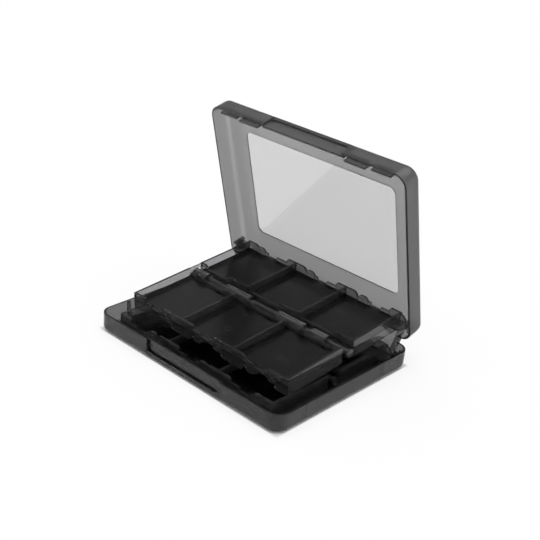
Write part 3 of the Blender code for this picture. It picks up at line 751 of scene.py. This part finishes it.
def build_case():
    # Base and spine, from a finely blasted mould: a soft sheen over walls that are nearly black; painted
    # shade, a smoke denser than the lid's same plastic, darkens them
    base_shaded_plastic = smoky_plastic("smoky_polypropylene_fine_painted_shade", "#fafafa", 0.2, BASE_SHADE_DENSITY, 0.995)
    # The lid's frame, from a spark-eroded mould: a mat grey haze that light comes through
    lid_plastic = smoky_plastic("smoky_polypropylene_eroded", "#fafafa", 0.3, LID_DENSITY, 0.98)
    # The window, from a polished mould: clear light grey, with sharp reflections
    window_plastic = smoky_plastic("smoky_polypropylene_polished", WHITE, 0.02, WINDOW_DENSITY, 1.0)
    # The trays' walls, tabs and hoods, glossy from the mould: light edges and see-through outer walls;
    # painted light, a thinner smoke and a grey haze than the same plastic has in the lid and floors, standing
    # in for the light that comes through them
    tray_lit_plastic = smoky_plastic("smoky_polypropylene_glossy_painted_light", "#d0d0d2", 0.06, TRAY_LIT_DENSITY, 0.97)
    # The pocket floors, satin: painted shade, a far denser smoke and a darker tint than the walls' same
    # plastic, standing in for the shade of the tray and base stacked below, a smooth black
    floor_shaded_plastic = smoky_plastic("smoky_polypropylene_satin_painted_shade", "#c8c8ca", 0.22, FLOOR_SHADE_DENSITY, 1.0)

    spine_place = folded(BASE_AXIS, SPINE_TILT, BASE_AXIS)
    lid_place = folded(LID_AXIS, LID_OPENING, turned(LID_AXIS, BASE_AXIS, -SPINE_TILT))
    pin = lid_place @ Vector((0, *UPPER_PIN))
    upper_place = Matrix.Translation(pin) @ Matrix.Rotation(math.radians(TRAY_TILT), 4, "X")
    lower_place = Matrix.Translation((0, *LOWER_PIN))

    base = shell("base_shell_look", BASE_HEIGHT, LOWER_PIN[1])
    inner = HALF_WIDTH - WALL
    for y in [HALF_DEPTH * share for share in RIB_SHARES]:
        for side in (-1, 1):
            near = (side * (inner - RIB_DEPTH), y - RIB_WIDTH / 2, SKIN - SHALLOW)
            far = (side * (inner + SHALLOW), y + RIB_WIDTH / 2, BASE_HEIGHT - RIB_DROP)
            base.add(box(near, far))
    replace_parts(base.finish(base_shaded_plastic, "base", "smoky_base", base_shaded_plastic, nowhere), "base_shell")

    low = (HINGE_Y, HINGE_RISE + BEAD_DROP)
    high = (HINGE_Y, CASE_HEIGHT - HINGE_RISE - BEAD_DROP)
    half_round = BEAD_STEPS // 2
    outline = arc(low, BEAD, 2, 4, half_round) + arc(high, BEAD, 0, 2, half_round)
    half = SPINE_WIDTH / 2
    panel = prism(outline, lambda y, z: (-half, y, z), (SPINE_WIDTH, 0, 0))
    spine = Moulding("spine_panel_look", panel, spine_place)
    for side in (-1, 1):
        band_back = HINGE_Y - BEAD - BAND_THICKNESS
        near = (side * half - side * BAND_WIDTH, band_back, HINGE_RISE + BAND_FROM_HINGE)
        far = (side * half, HINGE_Y + BEAD - OVERLAP, LID_AXIS[1] - BAND_FROM_HINGE)
        spine.add(box(near, far))
    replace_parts(spine.finish(base_shaded_plastic, "spine", "smoky_spine", base_shaded_plastic, nowhere), "spine_panel")

    over = Matrix.Translation((0, 0, CASE_HEIGHT)) @ Matrix.Rotation(math.pi, 4, "Y")
    lid = shell("lid_shell_look", LID_HEIGHT, CASE_HEIGHT - UPPER_PIN[1], lid_place @ over)
    hooks(lid, CATCH_CENTRE, CATCH_WIDTH, CATCH_RISE)
    hooks(lid, LIP_CENTRE, LIP_WIDTH, LIP_RISE)
    ring = rounded_ring(WINDOW_WIDTH, WINDOW_DEPTH, WINDOW_RADIUS, middle=WINDOW_MIDDLE)
    lid.cut(loft([(ring, -CUT_MARGIN), (ring, WINDOW_SINK)]))
    lid.cut(loft([(ring, SKIN - WINDOW_INNER_SINK), (ring, SKIN + CUT_MARGIN)]))
    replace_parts(lid.finish(lid_plastic, "lid", "smoky_lid", window_plastic, in_window), "lid_shell")

    for level, place, body in (("lower", lower_place, "base"), ("upper", upper_place, "upper_tray")):
        for end, build in (("rear", rear_half), ("front", front_half)):
            node = f"{level}_tray_{end}"
            tray = build(node + "_look", place)
            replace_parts(tray.finish(tray_lit_plastic, body, "tray_black", floor_shaded_plastic, on_floor), node)
        ring_marks(f"{level}_tray_rings", place, body, tray_lit_plastic)


def build_floor():
    """White paper, which partly glows where it is seen straight, mirrored or through plastic.

    Under the case it doesn't glow, so the case keeps its shadow and the plastic its depth.
    """
    floor = bmesh.new()
    bmesh.ops.create_grid(floor, x_segments=1, y_segments=1, size=FLOOR_REACH)
    made = to_object("floor", floor)
    made.location.z = -FLOOR_DROP
    paper = bpy.data.materials.new("white_paper")
    paper.use_nodes = True
    tree = paper.node_tree
    tree.nodes.remove(tree.nodes["Principled BSDF"])
    path = add_node(tree, "ShaderNodeLightPath").outputs
    larger, times = {"operation": "MAXIMUM"}, {"operation": "MULTIPLY"}
    bent = add_node(tree, "ShaderNodeMath", larger, i0=path["Is Glossy Ray"], i1=path["Is Transmission Ray"])
    weak = add_node(tree, "ShaderNodeMath", times, i0=bent.outputs[0], i1=FLOOR_BENT_SHARE)
    seen = add_node(tree, "ShaderNodeMath", larger, i0=path["Is Camera Ray"], i1=weak.outputs[0])
    place = add_node(tree, "ShaderNodeTexCoord").outputs["Object"]
    sides = (HALF_WIDTH, HALF_DEPTH, 1)
    ratio = add_node(tree, "ShaderNodeVectorMath", {"operation": "DIVIDE"}, i0=place, i1=sides)
    ratio = add_node(tree, "ShaderNodeVectorMath", {"operation": "ABSOLUTE"}, i0=ratio.outputs[0])
    parts = add_node(tree, "ShaderNodeSeparateXYZ", i0=ratio.outputs[0]).outputs
    reach = add_node(tree, "ShaderNodeMath", larger, i0=parts[0], i1=parts[1])
    outside = add_node(tree, "ShaderNodeMapRange",
                       Value=reach.outputs[0], From_Min=FOOTPRINT_FADE, From_Max=1.0, To_Max=FLOOR_GLOW)
    share = add_node(tree, "ShaderNodeMath", times, i0=seen.outputs[0], i1=outside.outputs[0])
    lit = add_node(tree, "ShaderNodeBsdfDiffuse", Color=colour(WHITE))
    glow = add_node(tree, "ShaderNodeEmission", Color=colour(WHITE), Strength=1.0)
    both = add_node(tree, "ShaderNodeMixShader", i0=share.outputs[0], i1=lit.outputs[0], i2=glow.outputs[0])
    tree.links.new(both.outputs[0], tree.nodes["Material Output"].inputs["Surface"])
    made.data.materials.append(paper)


def build_world():
    """A soft box overhead, white walls low down, dimmer ones between, and one unit of light on the floor."""
    world = bpy.data.worlds.new("studio")
    world.use_nodes = True
    bpy.context.scene.world = world
    tree = world.node_tree
    place = add_node(tree, "ShaderNodeTexCoord").outputs["Generated"]
    rise = add_node(tree, "ShaderNodeSeparateXYZ", i0=place).outputs[2]
    ramp = add_node(tree, "ShaderNodeValToRGB", i0=rise)
    stops = ramp.color_ramp.elements
    stops[0].position, stops[1].position = WORLD_STOPS[0][0], WORLD_STOPS[-1][0]
    for at, _ in WORLD_STOPS[1:-1]:
        stops.new(at)
    for stop, (_, level) in zip(stops, WORLD_STOPS):
        stop.color = (level, level, level, 1)
    tree.links.new(ramp.outputs["Color"], tree.nodes["Background"].inputs["Color"])


def build_camera():
    """The photograph's view, from the front right and above."""
    data = bpy.data.cameras.new("camera")
    data.sensor_width = CAMERA_SENSOR
    data.lens = CAMERA_LENS
    data.shift_x, data.shift_y = CAMERA_SHIFT
    data.clip_start = CAMERA_CLIP
    camera = bpy.data.objects.new("camera", data)
    bpy.context.scene.collection.objects.link(camera)
    back = -Vector(CAMERA_LOOK).normalized()
    right = Vector(CAMERA_RIGHT).normalized()
    up = back.cross(right)
    turn = Matrix((right, up, back)).transposed().to_4x4()
    camera.matrix_world = Matrix.Translation(CAMERA_PLACE) @ turn
    bpy.context.scene.camera = camera


build_case()
build_floor()
build_world()
build_camera()
bpy.context.scene.view_settings.view_transform = "Standard"
